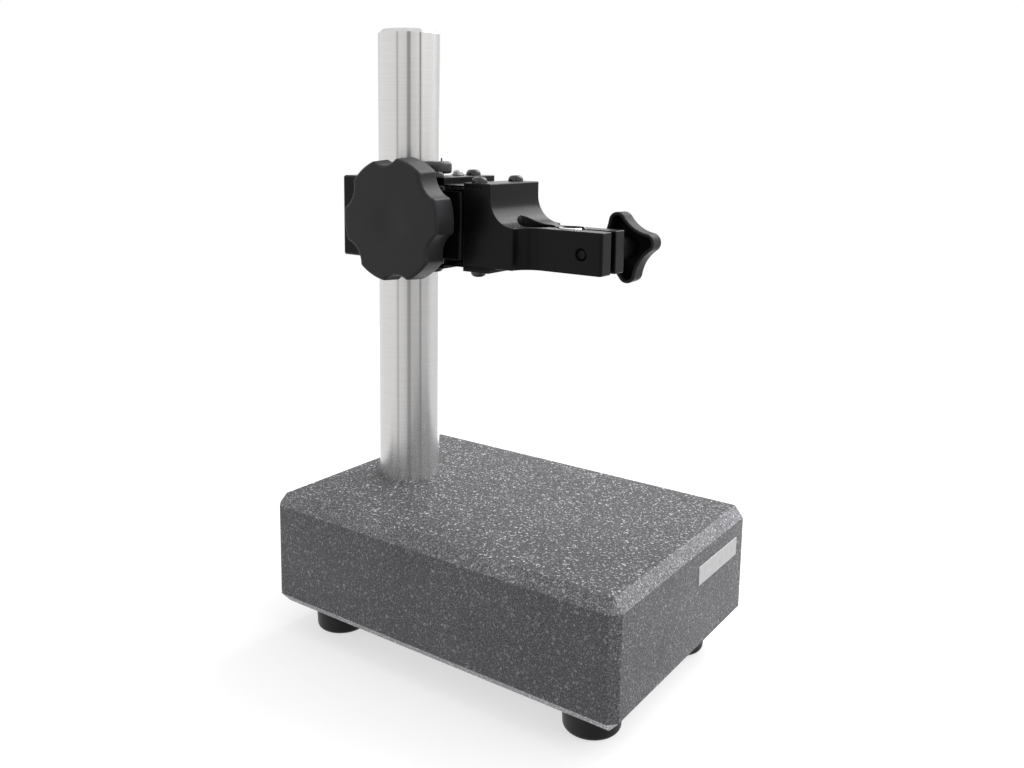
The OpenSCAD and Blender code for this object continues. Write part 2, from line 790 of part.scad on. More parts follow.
// Adjusting screw: threaded through the upper bar, its tip on the lifting tongue
module fine_screw() {
    tip_z = lift_z + lift_t;
    color("silver") on_arm() translate([fine_x, -fine_y, 0]) {
        rod(fine_tip_r, tip_z, spring_half);
        rod(fine_r, spring_half - eps, fine_top - fine_cover);
    }
}

// Small round knob on the adjusting screw, with a pip in the middle of its top
module fine_knob() {
    e = fine_round;
    color([0.15, 0.15, 0.16]) on_arm() translate([fine_x, -fine_y, 0]) difference() {
        rotate_extrude() polygon(concat(
            [[0, fine_knob_z]],
            arc([fine_knob_r - e, fine_knob_z + e], e, -90, 0, 4),
            arc([fine_knob_r - e, fine_top - e], e, 0, 90, 4),
            [[fine_pip_r, fine_top], [fine_pip_r, fine_top + fine_pip_h], [0, fine_top + fine_pip_h]]));
        rod(fine_r, fine_knob_z - over, fine_top - fine_cover);
    }
}

// Along the clamp knob's axis: z = 0 is the rear face of its hub, +Z points out of the arm
module along_clamp_knob() {
    on_arm() translate([jaw_x, knob_rear_y, jaw_z]) rotate([90, 0, 0]) children();
}

// Steel washer between the front jaw and the knob's hub
module clamp_washer() {
    color("silver") along_clamp_knob() difference() {
        rod(stud_washer_r, -stud_washer_t, 0);
        rod(stud_r + hole_fit, -stud_washer_t - over, over);
    }
}

// Lobed knob with rounded edges, a shallow dish in front and a hollow back
module clamp_knob() {
    e = knob_round;
    inner = knob_hollow_r - knob_wall;
    floor_z = knob_hub_l + knob_back_depth;
    dish_depth_r = (dish_r * dish_r + dish_d * dish_d) / (2 * dish_d);
    color([0.2, 0.2, 0.2]) along_clamp_knob() difference() {
        intersection() {
            rotate([0, 0, knob_turn]) linear_extrude(knob_t)
                polygon(lobed(knob_lobes, knob_r, knob_hollow_r, knob_scallop_r, knob_corner_r));
            rotate_extrude() polygon(concat(
                [[0, 0], [knob_hub_r, 0], [knob_hub_r, knob_hub_l]],
                arc([knob_r - e, knob_hub_l + e], e, -90, 0, 5),
                arc([knob_r - e, knob_t - e], e, 0, 90, 5),
                [[0, knob_t]]));
        }
        rotate_extrude() polygon([[knob_hub_r, knob_hub_l - over], [inner, knob_hub_l - over],
                                  [inner - knob_draft, floor_z], [knob_hub_r + knob_draft, floor_z]]);
        translate([0, 0, knob_t + dish_depth_r - dish_d]) sphere(r = dish_depth_r, $fn = 96);
        rod(clamp_insert_r, -over, clamp_insert_l);
    }
}

// Threaded bush moulded into the clamp knob
module clamp_insert() {
    color("goldenrod") along_clamp_knob() difference() {
        rod(clamp_insert_r, 0, clamp_insert_l);
        rod(stud_r, -over, clamp_insert_l - bush_floor);
    }
}

// Stud from the clamp knob through the front jaw into the rear one
module clamp_stud() {
    reach = jaw_rear_end - stud_short - knob_rear_y;
    color("silver") along_clamp_knob() rod(stud_r, -reach, clamp_insert_l - bush_floor);
}

// Along the star knob's axis: z = 0 is the rear face of its hub, +Z points out of the arm
module along_star_knob() {
    on_arm() translate([pinch_x, star_rear_y, pinch_z]) rotate([-90, 0, 0]) children();
}

module stem_washer() {
    color("silver") along_star_knob() difference() {
        rod(pinch_washer_r, -pinch_washer_t, 0);
        rod(pinch_r + hole_fit, -pinch_washer_t - over, over);
    }
}

// Star knob with a long hub and a shallow hollow in its back
module star_knob() {
    e = star_round;
    color([0.2, 0.2, 0.2]) along_star_knob() difference() {
        union() {
            rod(star_hub_r, 0, star_hub_l + star_t / 2);
            intersection() {
                translate([0, 0, star_hub_l]) rotate([0, 0, -star_turn]) linear_extrude(star_t)
                    polygon(lobed(star_lobes, star_r, star_hollow_r, star_scallop_r, star_corner_r));
                rotate_extrude() polygon(concat(
                    [[0, star_hub_l]],
                    arc([star_r - e, star_hub_l + e], e, -90, 0, 4),
                    arc([star_r - e, star_total - 2 * e], e, 0, 60, 3),
                    [[star_hollow_r - star_face_inset, star_total], [0, star_total]]));
            }
        }
        rod(star_insert_r, -over, star_insert_l);
        translate([0, 0, star_hub_l - over]) difference() {
            rod(star_hollow_r - star_back_wall, 0, star_back_depth + over);
            rod(star_hub_r, -over, star_back_depth + 2 * over);
        }
    }
}

// Threaded bush moulded into the star knob
module star_insert() {
    color("goldenrod") along_star_knob() difference() {
        rod(star_insert_r, 0, star_insert_l);
        rod(pinch_r, -over, star_insert_l - bush_floor);
    }
}

// Screw of the stem clamp: through the rear jaw of the tongue into the front one
module star_stud() {
    reach = star_rear_y + tongue_w / 2 - pinch_short;
    color("silver") along_star_knob() {
        rod(pinch_r, -reach + pinch_bevel, star_insert_l - bush_floor);
        translate([0, 0, -reach])
            cylinder(r1 = pinch_r - pinch_bevel, r2 = pinch_r, h = pinch_bevel + eps);
    }
}

granite_base();
foot_inserts();
foot_front_left();
foot_front_right();
foot_rear_left();
foot_rear_right();
foot_washers();
foot_screws();
anchor_bolt();
anchor_washer();
column();
clamp_block();
clamp_jaw_front();
clamp_jaw_rear();
spring_spacer_top();
spring_spacer_bottom();
leaf_spring_top();
leaf_spring_bottom();
spring_bar_top();
spring_bar_bottom();
block_screws();
bar_screw();
bar_screw_washer();
arm_head();
lift_tongue();
head_plate_top();
head_plate_bottom();
head_screws();
fine_screw();
fine_knob();
clamp_washer();
clamp_knob();
clamp_insert();
clamp_stud();
stem_washer();
star_knob();
star_insert();
star_stud();
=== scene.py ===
# %% [markdown]
# A comparator stand holds a dial gauge over a flat granite plate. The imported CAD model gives
# every size, every place and every joint. This script gives the stand its looks: it makes the
# finishes, and it makes again, as smooth surfaces, the pieces whose rounded edges catch the
# light. Everything is in metres and in the CAD model's own frame.

import json
import math

import bmesh
import bpy
import numpy as np
from mathutils import Matrix, Vector


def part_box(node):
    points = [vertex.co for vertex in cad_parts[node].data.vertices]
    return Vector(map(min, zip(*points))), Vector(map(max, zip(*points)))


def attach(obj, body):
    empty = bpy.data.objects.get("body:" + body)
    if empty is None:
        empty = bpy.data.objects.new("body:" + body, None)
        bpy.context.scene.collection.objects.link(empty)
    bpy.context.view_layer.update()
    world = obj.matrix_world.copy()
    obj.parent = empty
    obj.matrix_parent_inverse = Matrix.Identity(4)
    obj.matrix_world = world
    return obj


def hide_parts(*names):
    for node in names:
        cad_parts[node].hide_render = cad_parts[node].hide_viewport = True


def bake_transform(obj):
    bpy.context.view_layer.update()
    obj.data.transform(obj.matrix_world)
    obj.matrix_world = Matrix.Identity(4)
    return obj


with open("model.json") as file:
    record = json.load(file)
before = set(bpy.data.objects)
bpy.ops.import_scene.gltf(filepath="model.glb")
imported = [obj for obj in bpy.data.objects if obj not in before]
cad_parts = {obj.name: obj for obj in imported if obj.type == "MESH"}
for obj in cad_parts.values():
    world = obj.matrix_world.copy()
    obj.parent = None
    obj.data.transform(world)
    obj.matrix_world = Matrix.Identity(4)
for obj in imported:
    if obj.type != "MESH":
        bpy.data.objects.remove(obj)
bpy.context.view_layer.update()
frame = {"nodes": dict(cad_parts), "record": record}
MM = 0.001
print("nodes in the packed model:", len(frame["nodes"]))


# %% [markdown]
# The real stand was photographed from its front right corner, from about the height of the
# arm. The camera's place and angles were found by fitting the edges of the base, the column
# and the arm, so they are plain numbers here: the focal length and the row that lies straight
# ahead are in pixels. A small vertical shift keeps the column upright in the picture, as a
# view camera does.

# %% Place the camera
PICTURE_WIDE, PICTURE_TALL = 1024, 768
FOCAL = 976.1
MIDDLE_ROW = 285.0
CAMERA_AT = (0.20358, -0.2913, 0.19281)
YAW, PITCH, ROLL = (math.radians(a) for a in (-34.973, 8.842, 0.866))

ahead = Vector((math.sin(YAW) * math.cos(PITCH), math.cos(YAW) * math.cos(PITCH), -math.sin(PITCH)))
level = Vector((math.cos(YAW), -math.sin(YAW), 0.0))
over = level.cross(ahead)
right = math.cos(ROLL) * level + math.sin(ROLL) * over
up = -math.sin(ROLL) * level + math.cos(ROLL) * over

lens = bpy.data.cameras.new("camera")
lens.sensor_width = 36.0
lens.lens = FOCAL / PICTURE_WIDE * lens.sensor_width
lens.shift_y = (MIDDLE_ROW - PICTURE_TALL / 2) / PICTURE_WIDE
lens.clip_start = 0.01
camera = bpy.data.objects.new("camera", lens)
facing = Matrix((right, up, -ahead)).transposed().to_4x4()
camera.matrix_world = Matrix.Translation(CAMERA_AT) @ facing
bpy.context.scene.collection.objects.link(camera)
bpy.context.scene.camera = camera
bpy.context.scene.view_settings.view_transform = "Standard"
print("lens of", round(lens.lens, 1), "mm")


# %% [markdown]
# Every finish is a small network of nodes. One helper adds a node, sets its plain values and
# joins the outputs it is given. Another starts a finish on the Principled shader. All
# patterns read Object coordinates, which are metres here, so a scale of 1000 gives grains
# about a millimetre wide.

# %% Helpers for finishes
def add(tree, kind, inputs=None, **settings):
    """A new node. Plain values are set on its inputs, and other nodes' outputs are joined."""
    made = tree.nodes.new(kind)
    for name, value in settings.items():
        setattr(made, name, value)
    for socket, value in (inputs or {}).items():
        if isinstance(value, bpy.types.NodeSocket):
            tree.links.new(value, made.inputs[socket])
        else:
            made.inputs[socket].default_value = value
    return made


def start_finish(name, **values):
    """A material with a Principled shader whose own sockets hold the given values."""
    material = bpy.data.materials.new(name)
    material.use_nodes = True
    tree = material.node_tree
    shader = tree.nodes["Principled BSDF"]
    for socket, value in values.items():
        shader.inputs[socket.replace("_", " ")].default_value = value
    where = add(tree, "ShaderNodeTexCoord").outputs["Object"]
    return material, tree, shader, where


# %% [markdown]
# A pattern is a number at each point of the surface, mostly from a noise. It is carried to
# the range that a finish needs, mixed with others or sent through a ramp of greys, and the
# ramp is what gives the finish its contrast.

# %% Helpers for patterns
def noise(tree, where, scale, detail=2.0, roughness=0.5, distortion=0.0):
    """Noise of the given scale, as one number between 0 and 1."""
    made = add(tree, "ShaderNodeTexNoise", {"Vector": where, "Scale": scale, "Detail": detail,
                                            "Roughness": roughness, "Distortion": distortion})
    return made.outputs["Fac"]


def spread(tree, value, low, high, to_low, to_high):
    """The value carried from one range to another, and held at its ends."""
    made = add(tree, "ShaderNodeMapRange", {0: value, 1: low, 2: high, 3: to_low, 4: to_high})
    return made.outputs[0]


def greys(tree, value, stops):
    """A ramp of colours: stops are (place, colour) pairs, and a plain number is a grey."""
    ramp = add(tree, "ShaderNodeValToRGB", {"Fac": value})
    elements = ramp.color_ramp.elements
    while len(elements) < len(stops):
        elements.new(0.5)
    for element, (place, colour) in zip(elements, stops):
        element.position = place
        element.color = (*np.broadcast_to(colour, 3), 1.0)
    return ramp.outputs["Color"]


def mixed(tree, share, colour, other):
    """The first colour, with the given share of the other in it."""
    inputs = {0: share, 6: colour, 7: other}
    return add(tree, "ShaderNodeMix", inputs, data_type="RGBA").outputs[2]


def maths(tree, operation, value, other=0.5):
    """One number worked out from one or two."""
    return add(tree, "ShaderNodeMath", {0: value, 1: other}, operation=operation).outputs[0]


def vectors(tree, operation, value, other):
    """A vector worked out from two."""
    return add(tree, "ShaderNodeVectorMath", {0: value, 1: other}, operation=operation).outputs[0]


def dot(tree, value, way):
    """How far a vector reaches along a direction."""
    made = add(tree, "ShaderNodeVectorMath", {0: value, 1: way}, operation="DOT_PRODUCT")
    return made.outputs["Value"]


# %% [markdown]
# How far a face looks up is read from its normal. It tells a honed top from a side, and a
# rolled face from a cut edge. A bump joins a height to the shader, for relief too fine to be
# worth modelling.

# %% Helpers for slope and relief
def upward(tree):
    """How far a face looks up: 1 on a top, 0 on a wall and -1 below."""
    facing = add(tree, "ShaderNodeTexCoord").outputs["Normal"]
    return add(tree, "ShaderNodeSeparateXYZ", {0: facing}).outputs["Z"]


def bump(tree, shader, height, strength, distance):
    """Joins a height to the shader's normal."""
    made = add(tree, "ShaderNodeBump",
               {"Height": height, "Strength": strength, "Distance": distance})
    tree.links.new(made.outputs["Normal"], shader.inputs["Normal"])


# %% [markdown]
# The base is honed granite: a dark stone of grains less than half a millimetre across, with
# irregular pale crystals and near-black ones. Three noises give it: one for the ground, and
# two whose peaks alone are used, for the pale and the dark crystals. The top is finely honed,
# so its crystals stand out, and the sides are greyer. A tone by slope makes the top darker and
# the sides lighter, partly for the honing and partly as painted light, and it paints a
# highlight on the bevel. The bevel round the underside is painted palest, as painted light
# from below. A slow noise makes some regions a little lighter, and painted light makes the
# stone lighter from the near corner towards the far one.

# %% Granite
# painted light from below: the bevel round the underside, below this height, is painted 3.7 times
# lighter
PAINTED_UNDER_LIGHT_BELOW, PAINTED_UNDER_LIGHT = 15.2 * MM, 3.7
FINE_GRAIN, PALE_GRAIN, DARK_GRAIN, CLOUD = 2000.0, 1150.0, 1500.0, 45.0
NEAR_WHITE, NEAR_BLACK = (0.95, 0.95, 0.96, 1), (0.03, 0.03, 0.032, 1)
GROUND_TONES = [(0.32, 0.03), (0.46, 0.088), (0.55, 0.13), (0.68, 0.32)]
# tone by slope, partly the honed top and partly painted light: lighter sides, a painted highlight
# on the bevel, a darker top
HONE_AND_PAINTED_LIGHT_BY_SLOPE = [(0.15, 1.12), (0.45, 1.78), (0.80, 1.60), (0.97, 0.70)]
# painted light: the stone is painted lighter from the near corner towards the far one
PAINTED_LIGHT_WAY, PAINTED_LIGHT_ENDS, PAINTED_LIGHT_TONES = (-0.573, 0.819, 0.0), (-0.084, 0.03), (0.90, 1.24)
COOL = (0.99, 0.99, 1.04)


def crystals_of(tree, where, scale, edge, full, honed, on_side, on_top):
    """Crystals from a noise: where they are, and how much of each shows."""
    field = noise(tree, where, scale, 2.0, 0.6, 0.8)
    peaks = spread(tree, field, edge, full, 0.0, 1.0)
    shown = spread(tree, honed, 0.0, 1.0, on_side, on_top)
    return field, maths(tree, "MULTIPLY", peaks, shown)


def granite_finish():
    """The stone's colour, times a slow noise, painted light, and a partly painted tone by slope."""
    material, tree, shader, where = start_finish("granite", Specular_IOR_Level=0.35)
    slope = upward(tree)
    honed = spread(tree, slope, 0.7, 0.97, 0.0, 1.0)
    ground = greys(tree, noise(tree, where, FINE_GRAIN, 3.0, 0.7), GROUND_TONES)
    crystals, pale = crystals_of(tree, where, PALE_GRAIN, 0.59, 0.66, honed, 0.24, 0.95)
    aside = add(tree, "ShaderNodeMapping", {"Vector": where, "Location": (0.3, 0.2, 0.1)})
    _, dark = crystals_of(tree, aside.outputs[0], DARK_GRAIN, 0.45, 0.38, honed, 0.55, 0.95)
    stone = mixed(tree, pale, mixed(tree, dark, ground, NEAR_BLACK), NEAR_WHITE)
    height = add(tree, "ShaderNodeSeparateXYZ", {0: where}).outputs["Z"]
    # painted light from below: the bevel round the underside is painted lighter
    painted_under_light = spread(tree, height, PAINTED_UNDER_LIGHT_BELOW - 0.2 * MM, PAINTED_UNDER_LIGHT_BELOW, PAINTED_UNDER_LIGHT, 1.0)
    slow = spread(tree, noise(tree, where, CLOUD, 2.0), 0.3, 0.7, 0.90, 1.10)
    # painted light: lighter from the near corner towards the far one
    painted_corner_light = spread(tree, dot(tree, where, PAINTED_LIGHT_WAY), *PAINTED_LIGHT_ENDS, *PAINTED_LIGHT_TONES)
    place = maths(tree, "MULTIPLY", maths(tree, "MULTIPLY", slow, painted_under_light), painted_corner_light)
    scaled = add(tree, "ShaderNodeVectorMath", {0: stone, "Scale": place}, operation="SCALE")
    # tone by slope: partly the honing, partly painted light, with a painted highlight on the bevel
    sloped = vectors(tree, "MULTIPLY", scaled.outputs[0], greys(tree, slope, HONE_AND_PAINTED_LIGHT_BY_SLOPE))
    tree.links.new(vectors(tree, "MULTIPLY", sloped, COOL), shader.inputs["Base Color"])
    tree.links.new(spread(tree, crystals, 0.3, 0.7, 0.62, 0.45), shader.inputs["Roughness"])
    bump(tree, shader, crystals, 0.2, 1e-4)
    return material


# %% [markdown]
# The column is centreless-ground steel. Grinding leaves fine rings round it, which blur
# reflections up and down but hardly sideways, so it shows thin upright lines. The shader's
# anisotropy does that. Its tangent runs round the column: the cross product of the upright
# direction and the normal, with a little added so that it isn't zero on the end face.

# %% Steels
def ground_steel_finish():
    material, tree, shader, where = start_finish(
        "ground_steel", Metallic=1.0, Roughness=0.21, Anisotropic=0.92, Anisotropic_Rotation=0.25)
    normal = add(tree, "ShaderNodeNewGeometry").outputs["Normal"]
    round_it = vectors(tree, "CROSS_PRODUCT", (0, 0, 1), normal)
    nudged = vectors(tree, "ADD", round_it, (0.001, 0, 0))
    tree.links.new(nudged, shader.inputs["Tangent"])
    stretched = add(tree, "ShaderNodeMapping", {"Vector": where, "Scale": (1.0, 1.0, 60.0)})
    rings = noise(tree, stretched.outputs[0], 60.0, 3.0, 0.6)
    cloud = noise(tree, where, 45.0, 2.0)
    tone = greys(tree, rings, [(0.25, (0.70, 0.69, 0.685)), (0.75, (0.77, 0.76, 0.755))])
    tree.links.new(tone, shader.inputs["Base Color"])
    tree.links.new(spread(tree, cloud, 0.3, 0.7, 0.19, 0.23), shader.inputs["Roughness"])
    return material


def metal_finish(name, colour, rough, grain=900.0):
    """Plain machined or plated metal: a faint grain in its colour and in its roughness."""
    material, tree, shader, where = start_finish(name, Metallic=1.0)
    speck = noise(tree, where, grain, 3.0)
    low = tuple(0.88 * c for c in colour)
    tree.links.new(greys(tree, speck, [(0.3, low), (0.7, colour)]), shader.inputs["Base Color"])
    shine = spread(tree, speck, 0.3, 0.7, rough + 0.05, rough - 0.05)
    tree.links.new(shine, shader.inputs["Roughness"])
    bump(tree, shader, speck, 0.06, 3e-5)
    return material


# %% [markdown]
# The leaf springs are cut from rolled strip: the rolled faces are bright, and the sheared
# edges are dark. The faces that look up or down are the rolled ones.

# %% Spring strip
def strip_finish():
    material, tree, shader, where = start_finish("spring_steel", Metallic=1.0, Roughness=0.30)
    rolled = spread(tree, maths(tree, "ABSOLUTE", upward(tree)), 0.80, 0.98, 0.0, 1.0)
    bright = greys(tree, noise(tree, where, 900.0, 3.0), [(0.3, 0.30), (0.7, 0.36)])
    tone = mixed(tree, rolled, (0.015, 0.015, 0.016, 1), bright)
    tree.links.new(tone, shader.inputs["Base Color"])
    return material


# %% [markdown]
# The arm's blocks are steel with a black gloss finish. It is close to black, with a soft
# unevenness in its shine, and the faint pits of the ground steel beneath show in it. Moulded
# plastic and rubber are made the same way, with coarser pits and less shine.

# %% Black gloss, plastic and rubber
def coated_finish(name, colour, rough, pits, depth, specular=0.5, uneven=0.055):
    """A coated, moulded or rubber surface: nearly one colour, with uneven shine and fine relief."""
    material, tree, shader, where = start_finish(name, Specular_IOR_Level=specular)
    cloud = noise(tree, where, 120.0, 3.0)
    fine = noise(tree, where, pits, 2.0)
    low = tuple(0.8 * c for c in colour)
    high = tuple(1.15 * c for c in colour)
    tree.links.new(greys(tree, cloud, [(0.3, low), (0.7, high)]), shader.inputs["Base Color"])
    both = maths(tree, "ADD", cloud, fine)
    shine = spread(tree, both, 0.7, 1.3, rough - uneven, rough + uneven)
    tree.links.new(shine, shader.inputs["Roughness"])
    bump(tree, shader, fine, 0.25, depth)
    return material


FINISH = {
    "granite": granite_finish(),
    "ground_steel": ground_steel_finish(),
    "spring_steel": strip_finish(),
    "black_steel": coated_finish(
        "black_gloss", (0.004, 0.004, 0.0046), 0.28, 500.0, 1e-6, 0.16, 0.015),
    "black_stud": coated_finish("black_stud", (0.006, 0.006, 0.0065), 0.28, 900.0, 2e-6, 0.16),
    "black_aluminium": coated_finish(
        "black_anodised", (0.018, 0.018, 0.019), 0.32, 900.0, 1e-5, 0.8),
    "star_plastic": coated_finish("star_plastic", (0.020, 0.020, 0.022), 0.50, 2400.0, 3e-5, 0.18),
    "knob_plastic": coated_finish(
        "moulded_plastic", (0.016, 0.016, 0.018), 0.45, 2400.0, 3e-5, 0.32),
    # painted shade: a near-black matt finish, darker than the plastic and steel round it, for the
    # star knob's hollow and the stem bush's inside
    "matt_painted_shade": coated_finish("matt_painted_shade", (0.005, 0.005, 0.006), 0.60, 2400.0, 3e-5, 0.10),
    "rubber": coated_finish("black_rubber", (0.008, 0.008, 0.008), 0.48, 1800.0, 3e-5, 0.3),
    "plain_steel": metal_finish("turned_steel", (0.60, 0.59, 0.58), 0.30),
    "bright_steel": metal_finish("bright_steel", (0.86, 0.86, 0.87), 0.22),
    "zinc_steel": metal_finish("bright_zinc", (0.50, 0.50, 0.51), 0.32),
    "black_screw": metal_finish("black_oxide", (0.075, 0.075, 0.078), 0.24),
    "brass": metal_finish("turned_brass", (0.72, 0.52, 0.24), 0.30),
    "label_foil": metal_finish("label_foil", (0.80, 0.80, 0.81), 0.42, 400.0),
}
slot_of = {part["node"]: part["material_slot"] for part in frame["record"]["subparts"]}
for name, node in frame["nodes"].items():
    node.data.materials.clear()
    node.data.materials.append(FINISH[slot_of[name]])
print("finishes:", ", ".join(sorted(FINISH)))


# %% [markdown]
# New pieces are made of closed loops of points, computed as whole arrays. A profile is a line
# of points whose corners become arcs, as a cutting tool or a mould leaves them. A turned piece
# carries its profile round an axis.

# %% Helpers for lines and loops
def rounded(corners, radii, steps=4):
    """A line of points whose corners become arcs. An arc's ends lie radius / tan(half the
    corner's angle) from the corner, and its middle lies on the corner's bisector."""
    corners = np.asarray(corners, float)
    radii = np.broadcast_to(radii, len(corners) - 2)[:, None]
    before, corner, after = corners[:-2], corners[1:-1], corners[2:]
    a = (before - corner) / np.linalg.norm(before - corner, axis=1, keepdims=True)
    b = (after - corner) / np.linalg.norm(after - corner, axis=1, keepdims=True)
    half = np.arccos(np.clip((a * b).sum(1, keepdims=True), -1, 1)) / 2
    reach = radii / np.tan(half)
    middle = corner + (a + b) / np.linalg.norm(a + b, axis=1, keepdims=True) * radii / np.sin(half)
    first, last = corner + a * reach - middle, corner + b * reach - middle
    turn = math.pi - 2 * half
    side = np.sign(first[:, :1] * last[:, 1:] - first[:, 1:] * last[:, :1])
    t = np.linspace(0, 1, steps + 1)[None, :] * turn * side
    x = np.cos(t) * first[:, :1] - np.sin(t) * first[:, 1:]
    y = np.sin(t) * first[:, :1] + np.cos(t) * first[:, 1:]
    arcs = middle[:, None] + np.stack([x, y], -1)
    return np.concatenate([corners[:1], arcs.reshape(-1, 2), corners[-1:]])


def axes_of(direction):
    """Two directions square to the given one, and that one."""
    w = np.asarray(direction, float)
    u = np.cross(w, (0.0, 0.0, 1.0)) if abs(w[2]) < 0.9 else np.array((1.0, 0.0, 0.0))
    return u, np.cross(w, u), w


def angles(steps):
    """Equal steps round a circle."""
    return np.linspace(0, 2 * math.pi, steps, endpoint=False)


def placed(flat, heights, origin, direction):
    """Loops of flat points, each at its own height along a direction from an origin."""
    u, v, w = axes_of(direction)
    heights = np.asarray(heights, float)[:, None, None]
    return np.asarray(origin) + flat[..., :1] * u + flat[..., 1:] * v + heights * w


def turned(profile, origin, direction=(0, 0, 1), steps=96, form=None, shares=None):
    """Rings of a turned shape: a profile point (radius, height) becomes a circle at that
    height. A form gives a radius for each angle, as a part of the circle's, and a row's
    share says how much of it the row takes: radius * (1 - share + share * form)."""
    profile = np.asarray(profile, float)
    t = angles(steps)
    shape = np.ones(steps) if form is None else form(t)
    shares = np.zeros(len(profile)) if shares is None else np.asarray(shares, float)
    radius = profile[:, :1] * (1 + shares[:, None] * (shape - 1))
    flat = radius[..., None] * np.column_stack([np.cos(t), np.sin(t)])
    return placed(flat, profile[:, 1], origin, direction)


# %% [markdown]
# A skin is rows of such loops, with quads between neighbouring rows. A loop that shrinks to
# one point closes the skin, and a last loop equal to the first makes a ring. Doubled points
# are merged and the normals turned outwards, and a Weighted Normal modifier keeps flat faces
# flat beside their rounded edges. Where the inside of a piece has another finish, its quads
# are picked by their row and point before the merge.

# %% Helpers for skins
TOUCHING = 0.002 * MM


def skin(name, parts, body, finish, stands_for=(), sharp=50, inner=None, inner_faces=None):
    """One mesh over one or more arrays of loops, loops[i, j] being point j of loop i. The quads
    that inner_faces picks, by loop and by point, take the second finish."""
    points, quads, picked, start = [], [], [], 0
    for loops in parts:
        rows, count = loops.shape[:2]
        ids = start + np.arange(rows * count).reshape(rows, count)
        a, b = ids[:-1], ids[1:]
        quads.append(np.stack([a, np.roll(a, -1, 1), np.roll(b, -1, 1), b], -1).reshape(-1, 4))
        points.append(loops.reshape(-1, 3))
        if inner:
            picked.append(np.broadcast_to(inner_faces(*np.indices(a.shape)), a.shape).ravel())
        start += rows * count
    mesh = bpy.data.meshes.new(name)
    mesh.from_pydata(np.concatenate(points).tolist(), [], np.concatenate(quads).tolist())
    if inner:
        mesh.polygons.foreach_set("material_index", np.concatenate(picked).astype(np.int32))
    piece = dress(name, mesh, body, finish, stands_for, sharp)
    if inner:
        mesh.materials.append(FINISH[inner])
    return piece


def dress(name, mesh, body, finish, stands_for=(), sharp=50):
    """Merges doubled points, turns the faces outwards, and makes the mesh a piece on a body.
    A body given as (first, second, start, end) only leaves the piece in place, on no body."""
    work = bmesh.new()
    work.from_mesh(mesh)
    bmesh.ops.remove_doubles(work, verts=work.verts, dist=TOUCHING)
    bmesh.ops.recalc_face_normals(work, faces=work.faces)
    work.to_mesh(mesh)
    work.free()
    mesh.shade_smooth()
    mesh.set_sharp_from_angle(angle=math.radians(sharp))
    mesh.materials.append(FINISH[finish])
    piece = bpy.data.objects.new(name, mesh)
    bpy.context.scene.collection.objects.link(piece)
    weighted = piece.modifiers.new("flat_faces", "WEIGHTED_NORMAL")
    weighted.keep_sharp = True
    if isinstance(body, str):
        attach(piece, body)
    else:
        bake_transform(piece)
    if stands_for:
        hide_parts(*stands_for)
    print(name, "has", len(mesh.polygons), "faces")
    return piece


# %% [markdown]
# A new piece takes its place and its main sizes from the CAD node that it stands for, so two
# helpers read that node's box.

# %% Helpers for places
def corners_of(node):
    """Lowest and highest corner of a CAD node, as arrays."""
    low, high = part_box(node)
    return np.array(low), np.array(high)


def middle_of(node):
    """Middle of a CAD node's box."""
    low, high = corners_of(node)
    return (low + high) / 2


# %% [markdown]
# The base is a block with a wide bevel round its top, a smaller one round its underside and
# bevelled upright edges. Its section at any height is a rectangle with cut corners, so the
# skin is made of such outlines. The upright bevels run out where the wide bevel overtakes
# them. Underneath, the skin turns into the round well of the column's bolt. The bevel under
# the block is a little taller than the CAD's, as the photograph shows it.

# %% Granite base
low, high = corners_of("granite_base")
half = (high - low)[:2] / 2
UPRIGHT = 3.0 * MM
TOP_IN, TOP_DROP = 3.2 * MM, 4.4 * MM
UNDER_IN, UNDER_RISE = 3.6 * MM, 4.2 * MM
WELL_R, WELL_DEEP, WELL_EDGE = 11.25 * MM, 14.0 * MM, 0.5 * MM
PAST = 5 * MM


def cut_rectangle(inset, z, steps=9):
    """Outline of the base at one height: half sizes less the inset, and corners cut back so
    that the cut keeps its plane, on points spread evenly along each side."""
    a, b = half - inset
    cut = max(UPRIGHT - 2 * inset, 0.4 * MM)
    ends = np.array([(a - cut, b), (-a + cut, b), (-a, b - cut), (-a, -b + cut),
                     (-a + cut, -b), (a - cut, -b), (a, -b + cut), (a, b - cut)])
    t = np.linspace(0, 1, steps, endpoint=False)[:, None]
    sides = ends[:, None] * (1 - t) + np.roll(ends, -1, 0)[:, None] * t
    flat = sides.reshape(-1, 2)
    return np.column_stack([flat, np.full(len(flat), z)])


def circle_like(outline, centre, radius, z):
    """A circle with one point for each point of an outline, at the same angle."""
    angle = np.arctan2(outline[:, 1], outline[:, 0])
    x, y = centre + radius * np.cos(angle), radius * np.sin(angle)
    return np.column_stack([x, y, np.full(len(angle), z)])


column_low, column_high = corners_of("column")
axis_x = (column_low[0] + column_high[0]) / 2
edge = rounded([(UNDER_IN + PAST, low[2]), (UNDER_IN, low[2]), (0, low[2] + UNDER_RISE),
                (0, high[2] - TOP_DROP), (TOP_IN, high[2]), (TOP_IN + PAST, high[2])],
               0.5 * MM, 3)[1:-1]
mouth = cut_rectangle(UNDER_IN, low[2])
rows = [circle_like(mouth, axis_x, r, low[2] + h) for r, h in (
    (1e-9, WELL_DEEP), (WELL_R, WELL_DEEP), (WELL_R, WELL_EDGE), (WELL_R + WELL_EDGE, 0.0))]
rows += [cut_rectangle(inset, z) for inset, z in edge]
rows += [np.tile((0.0, 0.0, high[2]), (len(mouth), 1))]
skin("granite_block", [np.array(rows)], "stand", "granite", ["granite_base"], sharp=40)


# %% [markdown]
# The column is one turned shape: a plain cylinder with a bevel at its top and a short one at
# its foot. Its edges are broken by a tenth or two of a millimetre, as any ground bar's are.

